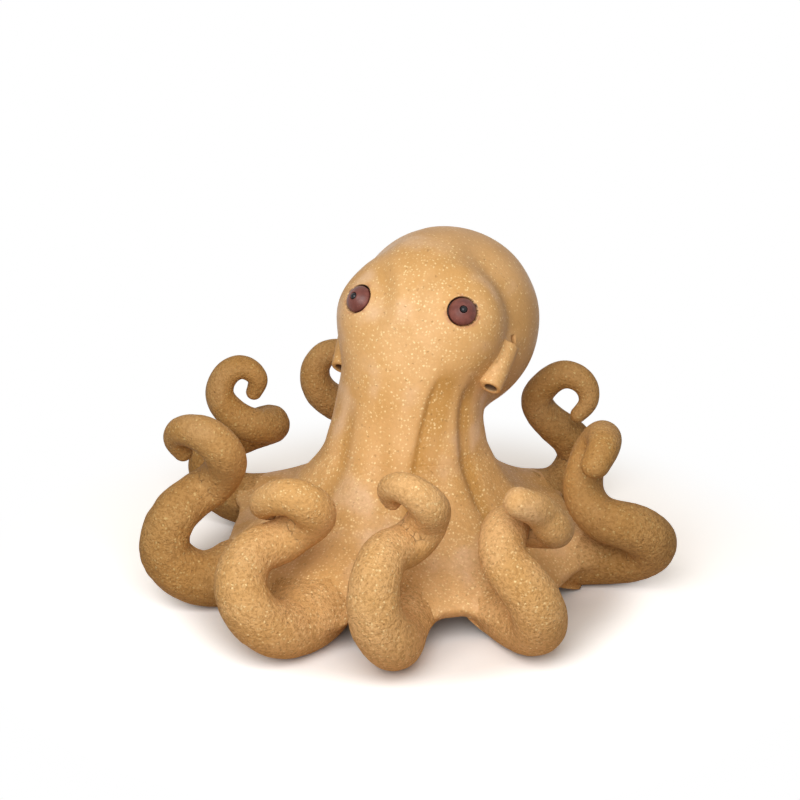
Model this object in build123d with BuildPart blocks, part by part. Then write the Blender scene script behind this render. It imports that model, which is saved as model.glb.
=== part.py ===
from build123d import *
import os
from math import cos, radians, sin, sqrt

os.makedirs("parts", exist_ok=True)

# Octopus figurine in unglazed sandy stoneware: a hollow body open underneath, eight
# rolled arms luted round its web, inlaid eyes with bead pupils, two open siphons.
# Millimetres, +Z up, the face looks along -Y, the table is Z = 0.
# The origin is the middle of the footprint; the body's axis stands behind it.
AXIS_X = -1.3
AXIS_Y = 5.4

# Web skirt, a bell turned about the body's axis
SKIRT_TOP = 26.0
SKIRT_TOP_RADIUS = 14.5
RIM_RADIUS = 32.0
RIM_UNDERSIDE = 3.2
RIM_THICKNESS = 2.6
SKIRT_WALL = 3.6
RIM_LIP = 0.9

# The bell's lines between their ends, as shares of the way out and of the way in height:
# outside from the neck joint down to the rim, inside from the rim up to the neck joint
OUTSIDE_SHARES = [(0.08, 0.1733), (0.2686, 0.4554), (0.5771, 0.7624)]
INSIDE_SHARES = [(0.1931, 0.0702), (0.4505, 0.2281), (0.7277, 0.5263), (0.9208, 0.8158)]

# Head: crown ball with a brow ball at each side of the face
BROW_HEIGHT = 48.4
FACE_X = 2.3
CROWN_RADIUS = 12.3
CROWN_BACK = 4.3
BROW_RADIUS = 8.5
BROW_OUT = 6.9
BROW_BACK = 1.3
HEAD_WALL = 3.6

# Neck column through five circles: share of the way from the skirt's top to the brows,
# then radius, sideways and backwards
NECK_RINGS = [
    (0.0, SKIRT_TOP_RADIUS, 0.0, 0.0), (0.268, 13.4, 0.4, 0.2), (0.58, 12.9, 1.1, 1.0),
    (0.826, 12.5, 1.8, 2.4), (1.049, 11.7, 2.3, 4.2)]

# Mantle, a hollow ball leaning back behind the head
MANTLE_RADIUS = 17.4
MANTLE_WALL = 3.8
MANTLE_X = 2.5
MANTLE_BEHIND = 0.5862 * MANTLE_RADIUS
MANTLE_DROP = 0.2644 * MANTLE_RADIUS
MANTLE_AT = (MANTLE_X, CROWN_BACK + MANTLE_BEHIND, BROW_HEIGHT - MANTLE_DROP)

# Eyes: red clay plugs with domed fronts in drilled sockets, black beads for pupils
EYE_TURN = 27.0
EYE_LIFT = 36.0
SOCKET_DIAMETER = 5.5
SOCKET_DEPTH = 3.0
EYE_DIAMETER = 4.9
EYE_SHOULDER = -0.5
EYE_TOP = 0.9
PUPIL_DIAMETER = 1.3
PUPIL_HOLE_DIAMETER = 1.4
PUPIL_HOLE_DEPTH = 1.0
PUPIL_PROUD = 0.25

# Siphons: short open tubes pointing forwards and down below the mantle's edge. The upper
# point lies SIPHON_SINK inside the mantle's side, the open end hangs below and in front
SIPHON_FORE = 0.569 * MANTLE_RADIUS
SIPHON_SINK = 0.0
SIPHON_UNDER = 0.4
SIPHON_FORWARD = 5.4
SIPHON_FALL = 5.6
SIPHON_LEAN = -0.5
SIPHON_END_RADIUS = 1.9
SIPHON_ROOT_RADIUS = 2.4
SIPHON_BORE_RADIUS = 1.1
SIPHON_BORE_DEPTH = 5.5
SIPHON_LENGTH = 9.0
SIPHON_CUT_ANGLE = 18.0

# Gill slits: short upright cuts in the mantle behind the upper end of each siphon
GILL_TURN = 63.0
GILL_LIFT = -2.0
GILL_RADIUS = 2.3
GILL_WIDTH = 0.9
GILL_PROUD = 0.7

# Arms: how many circles a rolled arm is lofted through, how far the soft clay was
# pressed down on the table, which leaves flat feet, how much its round tip swells, and
# how late it thins towards the tip
ARM_SECTIONS = 40
ARM_SETTLE = 0.8
TIP_SWELL = 1.02
TIP_TAPER = 8

# Each arm: azimuth from the face (towards the octopus's left), radius at the root, before
# the tip and at the tip, and its centre line as stations (out from the axis, sideways,
# height), for a rim radius of 32
ARM_GROWTH = RIM_RADIUS / 32
ARMS = {
    "left_arm_1": (17, 6.2, 2.7, 1.3, [
        (17, 0, 8.5), (24, 0, 7), (31, 0, 5.8), (38, 0, 5.6), (43.5, -0.5, 8), (46.1, -2.4, 12.4),
        (45, -3, 18.5), (40.4, -1.5, 22.1), (36.1, 1.8, 22.1), (34.8, 4.1, 23.9), (35.7, 5.6, 27.2),
        (38.8, 5.6, 30.7), (39.2, 3.5, 33), (37.9, 0.8, 33.5), (35.9, -0.9, 31.9),
        (34.4, -0.6, 29.4)]),
    "left_arm_2": (52, 6.0, 2.8, 2.6, [
        (17, 0, 8.5), (24, 0, 7), (31, 0, 5.6), (38, -0.5, 5.5), (43.6, -1.2, 7.2),
        (46.6, -2.8, 11.6), (44.5, -4.6, 16.5), (39.5, -5.6, 20.2), (36.9, -3.6, 22.7),
        (34.4, 0.2, 22.4), (35.6, 3.8, 21.6), (39.2, 5, 22.4), (41.5, 3.5, 24), (41.9, 0.7, 27.4),
        (42.5, -2.7, 29.9), (42.1, -4.2, 30.7)]),
    "left_arm_3": (96, 6.0, 2.9, 2.7, [
        (17, -1, 8.5), (23, -1, 7), (29, 0.4, 5.6), (35, 2, 5.4), (40.4, 2.6, 5.8),
        (44.3, 1.8, 7.5), (45.9, -0.4, 10.6), (44.6, -2.8, 13.6), (41.2, -4.1, 15.3),
        (36.8, -3.2, 16), (33.6, -1.4, 18.8), (33, 1, 22.8), (34.1, 2.4, 26.6), (36, 0.6, 29.7),
        (36.9, -3, 29.8), (36.1, -6.4, 27.6)]),
    "left_arm_4": (152, 5.8, 2.0, 1.7, [
        (17, 0, 8.5), (24, 0, 7), (30, -1, 5.6), (35.5, -2.2, 5.4), (40.4, -3.2, 7.4),
        (42.6, -3.2, 11.8), (40.4, -2.2, 16.2), (36.6, -0.8, 20), (34.4, 0.2, 24.2),
        (34.8, -1.8, 28.4), (36.8, -5.2, 30.6), (38.9, -8.2, 28.6), (38.8, -9, 25.4),
        (37.2, -8.1, 23.2)]),
    "right_arm_1": (348, 6.2, 2.8, 1.3, [
        (17, 0, 8.5), (24, 0.8, 7), (30.5, 1.8, 5.8), (38, 2.4, 5.6), (44.5, 1, 7.4),
        (47.7, -1.6, 11.6), (46.1, -4.2, 16.1), (41.1, -4.4, 19), (37, -2.4, 19.9),
        (34.7, -0.7, 21.4), (34.6, 3, 25.4), (36.6, 3, 27.9), (37.9, 1.1, 29.2), (38.6, -2.4, 28.5),
        (38.4, -4.5, 27.2), (35.6, -5.7, 24.4)]),
    "right_arm_2": (308, 6.0, 2.7, 1.3, [
        (17, 0, 8.5), (23.5, 1.5, 7), (29.5, 3.5, 5.6), (36, 4.5, 5.4), (42.5, 4, 7), (46, 3, 11.5),
        (45, 2.5, 17), (40.6, 0.6, 20), (36.6, 0.2, 22.1), (34.7, 3.9, 27.9), (35.6, 5.3, 30.5),
        (37.6, 5, 33.1), (40.2, 3.1, 34.1), (42, 0.5, 33.2), (42.4, -1.4, 30.8),
        (41.2, -1.9, 28.3)]),
    "right_arm_3": (244, 5.8, 2.3, 1.6, [
        (17, 0, 8.5), (23.5, 1.5, 7), (29.5, 5, 5.6), (34.2, 9, 5.4), (38.6, 12, 7.2),
        (42.2, 12, 11), (42.6, 8.8, 14.8), (39.8, 5, 17), (35.1, 3.3, 19.2), (32.4, 4.8, 20.6),
        (31.6, 10.2, 22.5), (33.8, 13, 24.8), (35.6, 14.6, 28.8), (35.2, 13.2, 32.4),
        (33.2, 10.8, 33.8), (31.5, 8.8, 31.8), (32.4, 8.8, 28.5)]),
    "right_arm_4": (205, 5.8, 2.0, 1.7, [
        (17, 0, 8.5), (24, 0, 7), (30, 0, 5.6), (35.5, 1, 5.4), (39.4, 2.6, 8.4), (39.6, 5, 13.4),
        (36.4, 7.6, 17.4), (34, 10.8, 20), (33.2, 14.2, 23.4), (33, 14.8, 28), (32.2, 12, 31.4),
        (31, 8.6, 31.2), (30.4, 7.2, 28.2), (30.8, 8.2, 25.4)]),
}

body_axis = Axis((AXIS_X, AXIS_Y, 0), (0, 0, 1))
section_plane = Plane(origin=(AXIS_X, AXIS_Y, 0), x_dir=(1, 0, 0), z_dir=(0, -1, 0))


def at(x, y, z):
    """A point given from the foot of the body's axis."""
    return (AXIS_X + x, AXIS_Y + y, z)


def skirt_outside():
    """The bell's outer line, from the neck joint down to the outer corner of the rim."""
    rim_top = RIM_UNDERSIDE + RIM_THICKNESS
    between = [
        (SKIRT_TOP_RADIUS + out * (RIM_RADIUS - SKIRT_TOP_RADIUS), SKIRT_TOP - down * (SKIRT_TOP - rim_top))
        for out, down in OUTSIDE_SHARES]
    return Spline(
        (SKIRT_TOP_RADIUS, SKIRT_TOP), *between, (RIM_RADIUS, rim_top),
        tangents=((0.12, -1), (1, -0.5)))


def rim_roll(outside):
    """The rim's round lip, from the end of the bell's outer line to its underside."""
    return ThreePointArc(
        outside @ 1,
        (RIM_RADIUS + 0.27 * RIM_THICKNESS, RIM_UNDERSIDE + 0.35 * RIM_THICKNESS),
        (RIM_RADIUS - RIM_LIP, RIM_UNDERSIDE))


def head_solid(less):
    """Neck column, crown and both brows, drawn in all round by less."""
    with BuildPart() as solid:
        for share, radius, x, y in NECK_RINGS:
            height = SKIRT_TOP + share * (BROW_HEIGHT - SKIRT_TOP)
            with BuildSketch(Plane(origin=at(x, y, height))):
                Circle(radius - less)
        loft()
        with Locations(at(FACE_X, CROWN_BACK, BROW_HEIGHT)):
            Sphere(CROWN_RADIUS - less)
        if less == 0:
            with Locations(*[at(FACE_X + s * BROW_OUT, BROW_BACK, BROW_HEIGHT) for s in (-1, 1)]):
                Sphere(BROW_RADIUS)
    return solid.part


# Hollow bell of the web, its rim clear of the table
with BuildPart() as web_skirt:
    with BuildSketch(section_plane):
        with BuildLine():
            outside = skirt_outside()
            rim = rim_roll(outside)
            foot, top = rim @ 1, Vector(SKIRT_TOP_RADIUS - SKIRT_WALL, SKIRT_TOP)
            inside = Spline(
                foot, *[(foot.X + i * (top.X - foot.X), foot.Y + u * (top.Y - foot.Y)) for i, u in INSIDE_SHARES],
                top, tangents=((-1, 0.25), (-0.15, 1)))
            Line(inside @ 1, outside @ 0)
        make_face()
    revolve(axis=body_axis)
web_skirt.part.label = "web_skirt"

# What an arm's root is cut back to: the bell's outside, carried down to the table
with BuildPart() as root_trim:
    with BuildSketch(section_plane):
        with BuildLine():
            outside = skirt_outside()
            rim = rim_roll(outside)
            below = -RIM_UNDERSIDE
            Polyline(rim @ 1, (RIM_RADIUS - RIM_LIP, below), (0, below), (0, SKIRT_TOP), outside @ 0)
        make_face()
    revolve(axis=body_axis)

# Outer and inner forms of the head and the mantle
head_outside = head_solid(0)
head_hollow = head_solid(HEAD_WALL)
with BuildPart() as mantle_outside:
    with Locations(at(*MANTLE_AT)):
        Sphere(MANTLE_RADIUS)
with BuildPart() as mantle_hollow:
    with Locations(at(*MANTLE_AT)):
        Sphere(MANTLE_RADIUS - MANTLE_WALL)


def eye_plane(side):
    """The plane that touches the brow where an eye is set; side is -1 right, 1 left."""
    turn, lift = radians(EYE_TURN), radians(EYE_LIFT)
    out = Vector(side * cos(lift) * sin(turn), -cos(lift) * cos(turn), sin(lift))
    centre = Vector(*at(FACE_X + side * BROW_OUT, BROW_BACK, BROW_HEIGHT))
    return Plane(origin=centre + out * BROW_RADIUS, x_dir=(cos(turn), side * sin(turn), 0), z_dir=out)


def section_of(plane):
    """A drawing plane through a plane's normal: its Y runs along that normal."""
    return Plane(origin=plane.origin, x_dir=plane.x_dir, z_dir=plane.y_dir * -1)


def siphon_plane(side):
    """The plane across a siphon's open end; its normal runs up the tube."""
    half = sqrt(MANTLE_RADIUS**2 - SIPHON_FORE**2) - SIPHON_SINK
    high = Vector(*at(MANTLE_X + side * half, MANTLE_AT[1] - SIPHON_FORE, MANTLE_AT[2] - SIPHON_UNDER))
    low = high + Vector(SIPHON_LEAN, -SIPHON_FORWARD, -SIPHON_FALL)
    return Plane(origin=low, x_dir=(0, -1, 1), z_dir=high - low)


def gill_plane(side):
    """The upright plane of a gill slit, standing just proud of the mantle's surface."""
    turn, lift = radians(GILL_TURN), radians(GILL_LIFT)
    out = Vector(side * cos(lift) * sin(turn), -cos(lift) * cos(turn), sin(lift))
    centre = Vector(*at(*MANTLE_AT)) + out * (MANTLE_RADIUS + GILL_PROUD)
    return Plane(origin=centre, x_dir=(0, 0, 1), z_dir=(cos(turn), side * sin(turn), 0))


def dome(half, low, high):
    """Quarter line of a dome: from its edge at (half, low) to its top on the axis."""
    ball = (half**2 + (high - low) ** 2) / (2 * (high - low))
    return ThreePointArc(
        (half, low), (half * 0.5, high - ball + sqrt(ball**2 - (half * 0.5) ** 2)), (0, high))


# Head with its neck: hollow, open to the mantle behind, drilled for the eyes
with BuildPart() as head:
    add(head_outside)
    add(head_hollow, mode=Mode.SUBTRACT)
    add(mantle_hollow.part, mode=Mode.SUBTRACT)
    for side in (-1, 1):
        with Locations(eye_plane(side)):
            with Locations((0, 0, -SOCKET_DEPTH)):
                Cylinder(
                    SOCKET_DIAMETER / 2, SOCKET_DEPTH + 4,
                    align=(Align.CENTER, Align.CENTER, Align.MIN),
                    mode=Mode.SUBTRACT)
head.part.label = "head"

# Mantle: a hollow ball let onto the back of the head, with a gill slit on each side
with BuildPart() as mantle:
    add(mantle_outside.part)
    add(mantle_hollow.part, mode=Mode.SUBTRACT)
    add(head_outside, mode=Mode.SUBTRACT)
    for side in (-1, 1):
        with Locations(gill_plane(side)):
            Cylinder(GILL_RADIUS, GILL_WIDTH, mode=Mode.SUBTRACT)
mantle.part.label = "mantle"


def make_eye(side):
    """Red clay plug: flat back on the socket's floor, domed front with the bead's hole."""
    plane = eye_plane(side)
    half = EYE_DIAMETER / 2
    with BuildPart() as eye:
        with BuildSketch(section_of(plane)):
            with BuildLine():
                Polyline((0, EYE_TOP), (0, -SOCKET_DEPTH), (half, -SOCKET_DEPTH), (half, EYE_SHOULDER))
                dome(half, EYE_SHOULDER, EYE_TOP)
            make_face()
        revolve(axis=Axis(plane.origin, plane.z_dir))
        with Locations(plane):
            with Locations((0, 0, EYE_TOP)):
                Cylinder(PUPIL_HOLE_DIAMETER / 2, 2 * PUPIL_HOLE_DEPTH, mode=Mode.SUBTRACT)
    return eye.part


def make_pupil(side):
    """Glossy black bead standing on the floor of the hole in the eye."""
    plane = eye_plane(side)
    half = PUPIL_DIAMETER / 2
    floor = EYE_TOP - PUPIL_HOLE_DEPTH
    with BuildPart() as pupil:
        with BuildSketch(section_of(plane)):
            with BuildLine():
                Polyline((0, EYE_TOP + PUPIL_PROUD), (0, floor), (half, floor), (half, EYE_TOP - 0.2))
                dome(half, EYE_TOP - 0.2, EYE_TOP + PUPIL_PROUD)
            make_face()
        revolve(axis=Axis(plane.origin, plane.z_dir))
    return pupil.part


def make_siphon(side):
    """Tapered tube, open and cut on the slant below, luted to head and mantle above."""
    plane = siphon_plane(side)
    with BuildPart() as siphon:
        with BuildSketch(section_of(plane)):
            with BuildLine():
                Polyline(
                    (SIPHON_BORE_RADIUS, -2), (SIPHON_END_RADIUS, -2), (SIPHON_ROOT_RADIUS, SIPHON_LENGTH),
                    (0, SIPHON_LENGTH), (0, SIPHON_BORE_DEPTH), (SIPHON_BORE_RADIUS, SIPHON_BORE_DEPTH),
                    close=True)
            make_face()
        revolve(axis=Axis(plane.origin, plane.z_dir))
        split(bisect_by=plane.rotated((0, SIPHON_CUT_ANGLE, 0)), keep=Keep.TOP)
        add(head_outside, mode=Mode.SUBTRACT)
        add(mantle_outside.part, mode=Mode.SUBTRACT)
    return siphon.part


def make_arm(azimuth, root_radius, neck_radius, tip_radius, stations):
    """Rolled arm: circles along its centre line, a round tip, root cut to the web, flat feet."""
    turn = radians(azimuth)
    out = Vector(sin(turn), -cos(turn), 0)
    along = Vector(cos(turn), sin(turn), 0)
    foot = Vector(*at(0, 0, -ARM_SETTLE))
    points = [foot + (out * o + along * s + Vector(0, 0, z)) * ARM_GROWTH for o, s, z in stations]
    with BuildPart() as arm:
        with BuildLine() as centre_line:
            Spline(*points)
        edge = centre_line.edges()[0]
        across = along
        for i in range(ARM_SECTIONS + 1):
            reach = edge.length * i / ARM_SECTIONS
            here = edge.position_at(reach, position_mode=PositionMode.LENGTH)
            ahead = edge.tangent_at(reach, position_mode=PositionMode.LENGTH)
            across = (across - ahead * across.dot(ahead)).normalized()
            share = i / ARM_SECTIONS
            radius = root_radius + (neck_radius - root_radius) * share
            radius -= (neck_radius - tip_radius) * share**TIP_TAPER
            with BuildSketch(Plane(origin=here, x_dir=across, z_dir=ahead)):
                Circle(radius * ARM_GROWTH)
        loft()
        with Locations(Plane(origin=here, x_dir=across, z_dir=ahead)):
            Sphere(tip_radius * ARM_GROWTH * TIP_SWELL)
        add(root_trim.part, mode=Mode.SUBTRACT)
        split(bisect_by=Plane.XY, keep=Keep.TOP)
    return arm.part


export_step(web_skirt.part, "parts/web_skirt.step")
export_step(head.part, "parts/head.step")
export_step(mantle.part, "parts/mantle.step")

for side, hand in ((-1, "right"), (1, "left")):
    for kind, make in (("eye", make_eye), ("pupil", make_pupil), ("siphon", make_siphon)):
        piece = make(side)
        piece.label = f"{hand}_{kind}"
        export_step(piece, f"parts/{hand}_{kind}.step")

for name, (azimuth, root_radius, neck_radius, tip_radius, stations) in ARMS.items():
    piece = make_arm(azimuth, root_radius, neck_radius, tip_radius, stations)
    piece.label = name
    export_step(piece, f"parts/{name}.step")
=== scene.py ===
# %% [markdown]
# # A clay octopus, dressed over its CAD frame
#
# The real ornament was built by hand from sandy ochre clay: a hollow bell of web, a neck with
# a burnished head, a ball of mantle behind it, eight rolled arms with curled tips, two open
# siphons, and eyes inlaid in red clay with black beads. The potter wetted each joint with slip
# and rubbed it smooth, so the pieces flow into each other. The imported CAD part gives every
# piece its place. This file gives the pieces their soft joints, their hand-made skin and their
# finish. All of them ride on the one body of the part, because fired clay doesn't move.

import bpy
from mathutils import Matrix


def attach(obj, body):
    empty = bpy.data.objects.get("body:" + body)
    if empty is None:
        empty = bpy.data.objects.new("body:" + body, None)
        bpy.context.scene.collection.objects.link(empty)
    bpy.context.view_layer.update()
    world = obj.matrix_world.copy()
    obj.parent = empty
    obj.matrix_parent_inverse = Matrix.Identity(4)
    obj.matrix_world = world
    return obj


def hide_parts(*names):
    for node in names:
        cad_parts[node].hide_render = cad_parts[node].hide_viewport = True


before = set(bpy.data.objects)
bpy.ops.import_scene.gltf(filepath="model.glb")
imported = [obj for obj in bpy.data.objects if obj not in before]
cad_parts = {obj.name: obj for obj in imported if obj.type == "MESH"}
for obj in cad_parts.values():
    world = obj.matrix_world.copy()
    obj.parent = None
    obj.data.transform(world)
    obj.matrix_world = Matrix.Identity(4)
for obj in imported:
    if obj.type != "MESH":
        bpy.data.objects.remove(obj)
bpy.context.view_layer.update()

# %% [markdown]
# Shapes are worked out in millimetres from the foot of the body's axis, as the potter would
# measure them, and become metres in the frame only when a mesh is written. The first helper
# draws a smooth line through a few points. Blender's own curves could do that too, but here
# the line's points, length and direction are all needed as arrays.

import bpy
import numpy as np
from mathutils import Vector

AXIS = np.array([-1.3, 5.4, 0.0])
UP = np.array([0, 0, 1.0])


def unit(v):
    """Vectors divided by their own length."""
    return v / np.maximum(np.linalg.norm(v, axis=-1, keepdims=True), 1e-9)


def spokes(a):
    """Level unit vectors at angles a from the face, towards the octopus's left."""
    return np.stack([np.sin(a), -np.cos(a), 0 * a], 1)


def turn_of(x, y):
    """The angle of a place from the face, in degrees."""
    return np.degrees(np.arctan2(x, -y))


def half_turn(angle):
    """The same angle within -180..180 degrees."""
    return (angle + 180) % 360 - 180


def line_through(points, count, first=None, last=None):
    """Cubic line through the points with even curvature at each, resampled at equal steps.

    The slope m at each point solves h1*m0 + 2*(h0+h1)*m1 + h0*m2 = 3*(h1*d0 + h0*d1), where h
    are the chords' lengths and d their directions; the ends run out straight or follow first
    and last."""
    p = np.asarray(points, float)
    h = np.linalg.norm(np.diff(p, axis=0), axis=1)
    d = np.diff(p, axis=0) / h[:, None]
    n = len(p)
    a, b, i = np.zeros((n, n)), np.zeros_like(p), np.arange(1, n - 1)
    a[i, i - 1], a[i, i], a[i, i + 1] = h[1:], 2 * (h[:-1] + h[1:]), h[:-1]
    b[i] = 3 * (h[1:, None] * d[:-1] + h[:-1, None] * d[1:])
    a[0, :2], b[0] = ((2, 1), 3 * d[0]) if first is None else ((1, 0), unit(np.array(first, float)))
    a[-1, -2:], b[-1] = ((1, 2), 3 * d[-1]) if last is None else ((0, 1), unit(np.array(last, float)))
    m = np.linalg.solve(a, b)
    knots = np.concatenate([[0], np.cumsum(h)])
    s = np.linspace(0, knots[-1], 6 * count)
    k = np.clip(np.searchsorted(knots, s, "right") - 1, 0, n - 2)
    u, hk = ((s - knots[k]) / h[k])[:, None], h[k][:, None]
    fine = ((1 + 2 * u) * (1 - u) ** 2 * p[k] + u * (1 - u) ** 2 * hk * m[k]
            + u**2 * (3 - 2 * u) * p[k + 1] + u**2 * (u - 1) * hk * m[k + 1])
    run = np.concatenate([[0], np.cumsum(np.linalg.norm(np.diff(fine, axis=0), axis=1))])
    even = np.linspace(0, run[-1], count)
    return np.stack([np.interp(even, run, fine[:, j]) for j in range(p.shape[1])], axis=1)


def crowded(low, high, count, spots, width, gain):
    """Values from low to high that lie closer together near the spots: equal shares of the
    summed density 1 + gain * exp(-((x - spot) / width)^2)."""
    x = np.linspace(low, high, 4000)
    density = 1 + gain * sum(np.exp(-(((x - s) / width) ** 2)) for s in spots)
    total = np.concatenate([[0], np.cumsum((density[1:] + density[:-1]) / 2)])
    return np.interp(np.linspace(0, total[-1], count), total, x)


print("a test line has", len(line_through([(0, 0), (1, 2), (3, 3)], 9)), "points")

# %% [markdown]
# Nothing made by hand is even. This swelling is smooth noise: random values at the corners of
# a grid of cells, mixed across each cell. Blender's Displace modifier has noise too, but the
# same swelling has to lift two pieces alike where they meet, so it is a plain function of place.


# %% Hand-made unevenness
def step(x, low, high):
    """0 below low, 1 above high, and 3u^2 - 2u^3 between."""
    u = np.clip((x - low) / (high - low), 0, 1)
    return u * u * (3 - 2 * u)


def swelling(p, size, seed):
    """Smooth random values in -1..1 whose lumps are about size millimetres across."""
    values = np.random.default_rng(seed).uniform(-1, 1, 4096)
    q = p / size + 11.3 * seed
    cell = np.floor(q).astype(np.int64)
    f = q - cell
    w = f * f * (3 - 2 * f)
    total = np.zeros(p.shape[:-1])
    for corner in range(8):
        bit = np.array([corner & 1, corner >> 1 & 1, corner >> 2 & 1])
        c = cell + bit
        key = (c[..., 0] * 73856093 ^ c[..., 1] * 19349663 ^ c[..., 2] * 83492791) & 4095
        total += values[key] * np.prod(np.where(bit, w, 1 - w), axis=-1)
    return total


print("swelling spans", np.round(np.ptp(swelling(np.random.default_rng(1).random((999, 3)) * 40, 3, 2)), 2))

# %% [markdown]
# ## The body as one soft field
#
# Slip joints are concave fillets of no fixed radius, which a Bevel can't give on pieces that
# only touch. So the whole body is described once as a distance field, and the parts are melted
# together with a smooth minimum. Each piece is then its own grid of points, pushed along its
# own outward directions until it lies on that common skin. Neighbours meet without a seam, and
# each still is a closed piece of its own.


# %% Melting and carving distances
def melt(a, b, reach):
    """Smooth union of two distances: the smaller, less (reach - |a - b|)^2 / (4 reach)."""
    h = np.maximum(reach - np.abs(a - b), 0)
    return np.minimum(a, b) - h * h / (4 * reach)


def carve(a, b, reach):
    """Smooth difference: what is left of a once b is cut away, with a rounded lip."""
    return -melt(-a, b, reach)


def ball(p, centre, radius):
    """Distance to a ball."""
    return np.linalg.norm(p - np.asarray(centre), axis=-1) - radius


# %% [markdown]
# The neck and the bell of web are one turned column with a bend in it: at each height there
# is a centre and a radius. Grooves run up it between the arms, where the potter drew the clay
# down with a thumb, and a low rib climbs from each arm.

# %% The column of neck and web
NECK = np.array([  # height, radius, sideways, backwards
    (26, 14.5, 0, 0), (32, 13.4, 0.4, 0.2), (39, 12.9, 1.1, 1.0), (44.5, 12.5, 1.8, 2.4),
    (49.5, 11.7, 2.3, 4.2)])
bell = line_through([(14.5, 26), (15.9, 22.5), (19.2, 16.8), (24.6, 10.6), (32, 5.8)], 160,
                    (0.12, -1), (1, -0.5))
neck = line_through(NECK, 120)
column_z = np.concatenate([bell[::-1, 1], neck[1:, 0]])
column_r = np.concatenate([bell[::-1, 0], neck[1:, 1]])
column_x, column_y = (np.concatenate([np.zeros(len(bell)), neck[1:, j]]) for j in (2, 3))
column_slope = np.gradient(column_r, column_z)

ARM_TURNS = (17, 52, 96, 152, 205, 244, 308, 348)
GROOVES = [  # azimuth at height 30, turn per mm of height, depth, width left and right, top
    (31, 0.7, 0.85, 1.2, 4.2, 46), (67, 0.2, 0.8, 1.4, 2.2, 44), (122, 0, 0.6, 2, 2, 38),
    (178, 0, 0.6, 2, 2, 38), (224, 0, 0.6, 2, 2, 38), (276, 0, 0.6, 2, 2, 38),
    (328, -0.3, 0.45, 2.2, 2.2, 40), (3, -0.3, 0.3, 2.0, 2.4, 38)]


def from_axis(p):
    """Height held to the column, place across its bent axis, and the radius there."""
    z = np.clip(p[..., 2], 5.0, 49.5)
    x = p[..., 0] - np.interp(z, column_z, column_x)
    y = p[..., 1] - np.interp(z, column_z, column_y)
    return z, x, y, np.interp(z, column_z, column_r)


def grooves(p):
    """Depth of the thumbed grooves in mm, as bells exp(-(way round / width)^2)."""
    z, x, y, r = from_axis(p)
    turn, depths = turn_of(x, y), np.zeros(p.shape[:-1])
    for azimuth, twist, depth, left, right, top in GROOVES:
        away = np.radians(half_turn(turn - azimuth - twist * (z - 30))) * r
        fall = np.exp(-((away / np.where(away < 0, left, right)) ** 2))
        depths += depth * fall * step(z, 11, 19) * (1 - step(z, top - 9, top))
    return depths


def column(p):
    """Distance to the turned column, with its ribs and grooves and a rounded top.

    d = (distance from the bent axis - radius at that height) * cos(slope of the side)."""
    z, x, y, r = from_axis(p)
    d = (np.hypot(x, y) - r) / np.sqrt(1 + np.interp(z, column_z, column_slope) ** 2) + grooves(p)
    for azimuth in ARM_TURNS:
        away = np.radians(half_turn(turn_of(x, y) - azimuth)) * r
        d = d - 0.7 * np.exp(-((away / 3.2) ** 2)) * step(z, 9, 14) * (1 - step(z, 20, 34))
    return carve(d, 48.5 - p[..., 2], 8)


print("column from", column_z[0], "to", column_z[-1], "mm high")

# %% [markdown]
# The head is a crown with a brow over each eye, and the mantle is a ball behind it. Each eye has
# a round seat pressed into its brow. The eye sockets and the gill slits are cut out of the same
# field, so their lips are as soft as a cut in leather-hard clay.

# %% Head, mantle, sockets and slits
CROWN, CROWN_RADIUS = (2.3, 4.3, 48.4), 12.3
BROWS, BROW_RADIUS = [(2.3 + s * 6.9, 1.3, 48.4) for s in (-1, 1)], 8.5
MANTLE, MANTLE_RADIUS = np.array([2.5, 14.5, 43.8]), 17.4
SOCKET_RADIUS, GILL_TURN = 2.72, 63
SIDES = {"right": -1, "left": 1}


def direction(turn, lift, side):
    """Unit vector at an angle from the face (towards one side) and above the level."""
    t, e = np.radians(turn), np.radians(lift)
    return np.array([side * np.cos(e) * np.sin(t), -np.cos(e) * np.cos(t), np.sin(e)])


EYE_OUT = {n: direction(27, 36, s) for n, s in SIDES.items()}
EYE_AT = {n: np.array(BROWS[s > 0]) + BROW_RADIUS * EYE_OUT[n] for n, s in SIDES.items()}
SIPHON_HIGH = {n: np.array([2.5 + s * 14.3, 4.6, 43.4]) for n, s in SIDES.items()}
SIPHON_LOW = {n: SIPHON_HIGH[n] + (-0.5, -5.4, -5.6) for n in SIDES}
GILL_AT = {n: MANTLE + 18.1 * direction(GILL_TURN, -2, s) for n, s in SIDES.items()}
GILL_ACROSS = {n: np.array([np.cos(np.radians(GILL_TURN)), s * np.sin(np.radians(GILL_TURN)), 0])
               for n, s in SIDES.items()}


def head_only(p):
    """Neck, crown and brows melted together."""
    brows = melt(*(ball(p, brow, BROW_RADIUS) for brow in BROWS), 4)
    return melt(melt(ball(p, CROWN, CROWN_RADIUS), brows, 6), column(p), 5)


def body(p):
    """The whole body without its arms and siphons; round each eye it is the plain brow.

    Behind the left temple a valley stays open between head and mantle."""
    front, back = head_only(p), ball(p, MANTLE, MANTLE_RADIUS)
    reach = 4 + 4 * step(p[..., 0], -7, -1) * (1 - step(p[..., 0], 4, 11))
    temple = step(p[..., 0], 7, 13) * step(p[..., 2], 43, 47)
    d = melt(front, back, reach) + 0.9 * np.exp(-(((front - back) / 2.6) ** 2)) * temple
    for brow, n in zip(BROWS, SIDES):
        radial, along = eye_place(p, n)
        seat = (1 - step(radial, 2.6, 9.5)) * step(along, -6, -4)
        d = d + seat * (ball(p, brow, BROW_RADIUS) - d)
    return d


def eye_place(p, n):
    """How far a point is from an eye's own axis, and how far along it from the brow."""
    q = p - EYE_AT[n]
    along = q @ EYE_OUT[n]
    return np.linalg.norm(q - along[..., None] * EYE_OUT[n], axis=-1), along


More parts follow.
